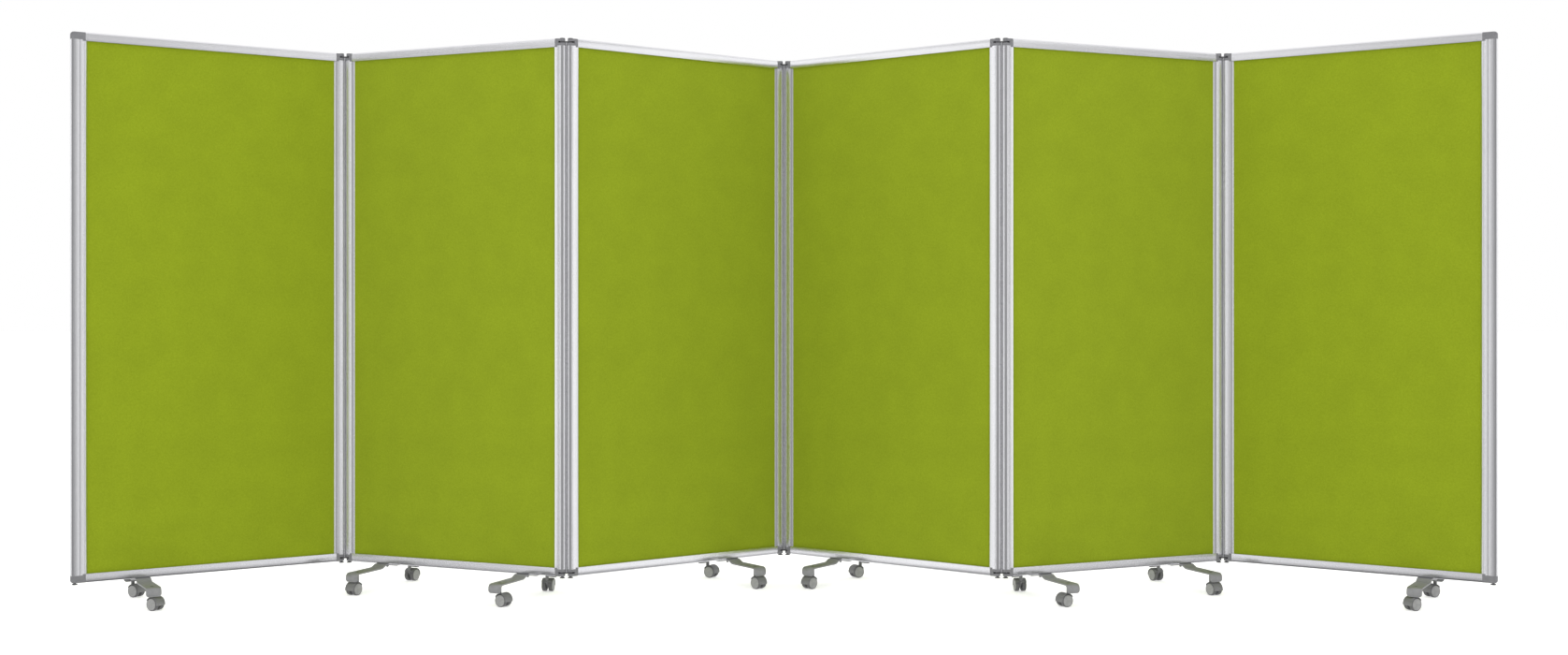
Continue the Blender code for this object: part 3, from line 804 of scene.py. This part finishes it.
def housing_mesh(name):
    """Hood over both wheels with rolled side edges, web between the wheels, boss and stem."""
    x, z = AXLE
    half = WHEEL_FAR
    section = [
        (HOOD_INNER, -half + 0.0006), (HOOD_INNER + 0.0003, -half + 0.0001), (HOOD_INNER + 0.0009, -half),
        (HOOD_OUTER - 0.0005, -half + 0.0004), (HOOD_OUTER - 0.0001, -half + 0.0014),
        (HOOD_OUTER, -half + 0.0030),
    ]
    section += [(radius, -along) for radius, along in reversed(section)]
    start, end = HOOD_ANGLES
    steps, end_step = 32, 0.0005
    rings = []
    for step in range(steps + 1):
        turn = math.radians(start + (end - start) * step / steps)
        ring = []
        for radius, along in section:
            if step in (0, steps) and radius > HOOD_INNER + 0.0008:
                radius -= end_step
            ring.append((x + radius * math.cos(turn), along, z + radius * math.sin(turn)))
        rings.append(ring)
    hood = loft(rings)
    web_outline = arc(AXLE, HOOD_INNER + 0.0006, start, end, 30) + arc(AXLE, 0.0090, 230, 310, 8)
    web = loft([[(a, along, b) for a, b in web_outline] for along in (-WEB, WEB)])
    arm_under = FRAME_LOW - BAR_GAP - BAR_JOGGLE[2] - BAR_PLATE
    foot_z = z + HOOD_INNER - 0.0057
    boss = revolved(
        [
            (0.0005, arm_under - 0.0004), (BOSS - 0.0014, arm_under - 0.0004),
            (BOSS - 0.0002, arm_under - 0.0012), (BOSS, arm_under - 0.0030),
            (BOSS, foot_z + 0.0040), (BOSS - 0.0016, foot_z), (0.0005, foot_z),
        ],
        28, upright(),
    )
    stem_part = revolved([(STEM, arm_under + 0.0046), (STEM, arm_under - 0.0030)], 24, upright())
    return mesh_of(name, *merged(hood, web, boss, stem_part), sharp=34.0)


# ---------------------------------------------------------------- stage


def floor_object():
    """White floor, a little bright of itself, which the metal doesn't mirror."""
    build = bmesh.new()
    side = 60.0
    outline = ((-side, -side), (side, -side), (side, side), (-side, side))
    build.faces.new([build.verts.new((x, y, 0.0)) for x, y in outline])
    mesh = bpy.data.meshes.new("floor")
    build.to_mesh(mesh)
    build.free()
    look = Look("floor", Roughness=0.85, Specular_IOR_Level=0.0, Emission_Strength=0.50)
    look.shader.inputs["Emission Color"].default_value = (1.0, 1.0, 1.0, 1.0)
    grain = look.noise(3.0, detail=2.0)
    white = look.ramp(grain, [(0.3, (0.90, 0.90, 0.90)), (0.7, (0.92, 0.92, 0.92))])
    look.link(white, look.shader.inputs["Base Color"])
    mesh.materials.append(look.material)
    made = bpy.data.objects.new("floor", mesh)
    made.visible_glossy = False
    bpy.context.scene.collection.objects.link(made)


def area_light(name, location, aim, size, power):
    data = bpy.data.lights.new(name, "AREA")
    data.shape = "RECTANGLE"
    data.size, data.size_y = size
    data.energy = power
    made = bpy.data.objects.new(name, data)
    bpy.context.scene.collection.objects.link(made)
    made.visible_glossy = False
    made.location = location
    made.rotation_mode = "QUATERNION"
    made.rotation_quaternion = (Vector(aim) - Vector(location)).to_track_quat("-Z", "Y")


# Light in front of the object, by the sideways share of a direction: strip lights and flags at both sides
FRONT_LIGHT = [
    (0.00, 0.34), (0.45, 0.38), (0.60, 0.56), (0.68, 0.68), (0.73, 0.82), (0.752, 1.40), (0.786, 1.50),
    (0.798, 0.52), (0.845, 0.36), (0.878, 0.30), (0.892, 1.45), (0.930, 1.35), (0.955, 1.05), (1.00, 1.00),
]


def surroundings():
    """Studio with strip lights and dark flags at both sides, white behind and above, dim below."""
    world = bpy.data.worlds.new("studio")
    bpy.context.scene.world = world
    world.use_nodes = True
    tree = world.node_tree
    background = tree.nodes["Background"]
    split = tree.nodes.new("ShaderNodeSeparateXYZ")
    tree.links.new(tree.nodes.new("ShaderNodeTexCoord").outputs["Generated"], split.inputs["Vector"])

    def ranged(source, low, high, to_low, to_high):
        made = tree.nodes.new("ShaderNodeMapRange")
        made.interpolation_type = "SMOOTHSTEP"
        for index, value in enumerate((low, high, to_low, to_high), start=1):
            made.inputs[index].default_value = value
        tree.links.new(source, made.inputs[0])
        return made.outputs[0]

    def maths(operation, *sources):
        made = tree.nodes.new("ShaderNodeMath")
        made.operation = operation
        for index, source in enumerate(sources):
            tree.links.new(source, made.inputs[index])
        return made.outputs[0]

    strips = tree.nodes.new("ShaderNodeValToRGB")
    elements = strips.color_ramp.elements
    while len(elements) < len(FRONT_LIGHT):
        elements.new(0.5)
    for element, (position, level) in zip(elements, FRONT_LIGHT):
        element.position = position
        element.color = (level, level, level * 1.01, 1.0)
    tree.links.new(maths("ABSOLUTE", split.outputs["X"]), strips.inputs["Fac"])
    dimmed = maths("MULTIPLY", strips.outputs["Color"], ranged(split.outputs["Z"], -0.55, -0.12, 0.25, 1.0))
    behind = ranged(split.outputs["Y"], -0.02, 0.10, 0.0, 1.0)
    above = ranged(split.outputs["Z"], 0.35, 0.75, 0.0, 1.0)
    level = maths("MAXIMUM", dimmed, maths("MAXIMUM", behind, above))
    tree.links.new(level, background.inputs["Color"])
    background.inputs["Strength"].default_value = 1.0


CAMERA_DISTANCE = 6.07      # in front of the middle hinge
CAMERA_HEIGHT = 0.986


def camera():
    data = bpy.data.cameras.new("camera")
    data.sensor_width = 36.0
    data.lens = 38.0
    data.shift_y = -0.0128
    made = bpy.data.objects.new("camera", data)
    bpy.context.scene.collection.objects.link(made)
    middle_pins = sum(pins_of(3), Vector()) / 2
    made.location = (0.0, middle_pins.y - CAMERA_DISTANCE, CAMERA_HEIGHT)
    made.rotation_euler = (math.pi / 2, 0.0, 0.0)
    data.clip_end = 200.0
    bpy.context.scene.camera = made


build_panels()
build_hinges()
build_feet()
floor_object()
surroundings()
area_light("overhead", (0.0, -1.0, 5.5), (0.0, 0.0, 0.0), (8.0, 6.0), 60.0)
area_light("front", (0.0, -9.0, 1.2), (0.0, 0.0, 0.9), (9.0, 4.0), 330.0)
camera()
bpy.context.scene.view_settings.view_transform = "Standard"
